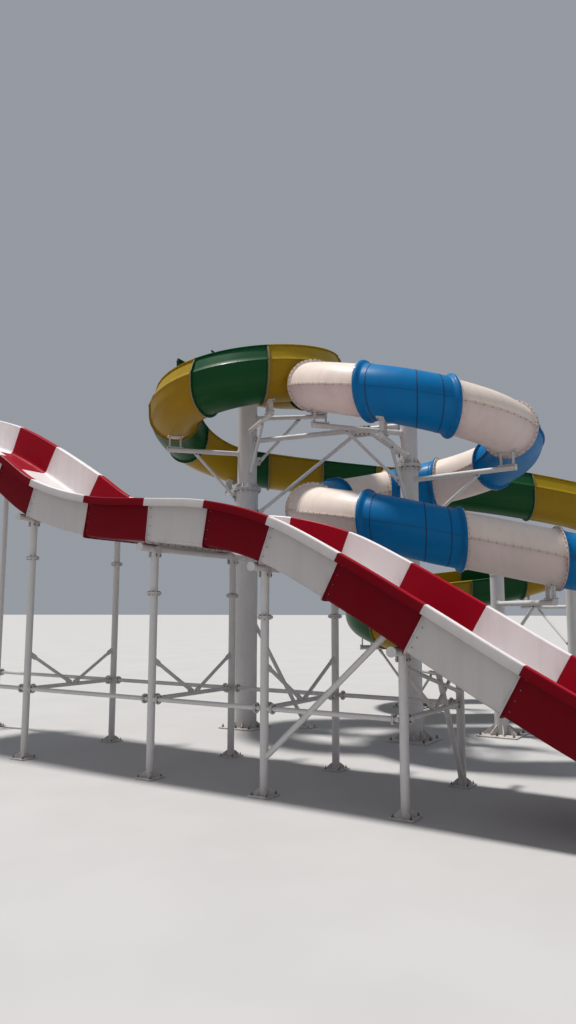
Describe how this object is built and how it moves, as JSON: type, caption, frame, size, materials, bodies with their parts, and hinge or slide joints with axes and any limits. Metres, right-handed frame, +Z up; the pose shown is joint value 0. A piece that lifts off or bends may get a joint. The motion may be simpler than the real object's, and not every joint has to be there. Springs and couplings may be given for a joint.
{
  "type": "water slide tower",
  "caption": "Water slide tower: a closed spiral tube and an open spiral flume on steel columns, with a straight wave slide on trestles in front.",
  "frame": {"origin": "middle of the underside of the main column's base plate, at ground level", "axes": "+Z up, +X down the wave slide, +Y to the back"},
  "size_m": [13.9823, 13.6949, 7.96],
  "materials": {
    "tube_cream": "glossy cream gelcoat",
    "tube_blue": "glossy blue gelcoat",
    "flume_green": "glossy dark green gelcoat",
    "flume_yellow": "glossy yellow gelcoat",
    "wave_red": "glossy dark red gelcoat",
    "wave_white": "glossy off-white gelcoat",
    "painted_steel": "weathered off-white paint on galvanised steel"
  },
  "bodies": {
    "root": {"tube_section_01": "tube_cream", "tube_barrel_02": "tube_blue", "tube_section_03": "tube_cream", "tube_section_04": "tube_blue", "tube_section_05": "tube_cream", "tube_barrel_06": "tube_blue", "tube_section_07": "tube_cream", "tube_section_08": "tube_blue", "tube_section_09": "tube_cream", "tube_barrel_10": "tube_blue", "tube_section_11": "tube_cream", "tube_section_12": "tube_blue", "flume_section_01": "flume_green", "flume_section_02": "flume_yellow", "flume_section_03": "flume_green", "flume_section_04": "flume_yellow", "flume_section_05": "flume_green", "flume_section_06": "flume_yellow", "flume_section_07": "flume_green", "flume_section_08": "flume_yellow", "flume_section_09": "flume_green", "flume_section_10": "flume_yellow", "flume_section_11": "flume_green", "flume_section_12": "flume_yellow", "flume_section_13": "flume_green", "flume_section_14": "flume_yellow", "flume_section_15": "flume_green", "flume_section_16": "flume_yellow", "flume_section_17": "flume_green", "flume_section_18": "flume_yellow", "flume_section_19": "flume_green", "flume_section_20": "flume_yellow", "flume_section_21": "flume_green", "wave_section_01": "wave_white", "wave_section_02": "wave_red", "wave_section_03": "wave_white", "wave_section_04": "wave_red", "wave_section_05": "wave_white", "wave_section_06": "wave_red", "wave_section_07": "wave_white", "wave_section_08": "wave_red", "wave_section_09": "wave_white", "wave_section_10": "wave_red", "wave_section_11": "wave_white", "wave_section_12": "wave_red", "wave_section_13": "wave_white", "main_column": "painted_steel", "flume_column": "painted_steel", "exit_column": "painted_steel", "back_column_left": "painted_steel", "back_column_right": "painted_steel", "link_strut": "painted_steel", "trestle_1": "painted_steel", "trestle_2": "painted_steel", "trestle_3": "painted_steel", "trestle_4": "painted_steel", "trestle_5": "painted_steel", "trestle_6": "painted_steel"}
  },
  "joints": []
}
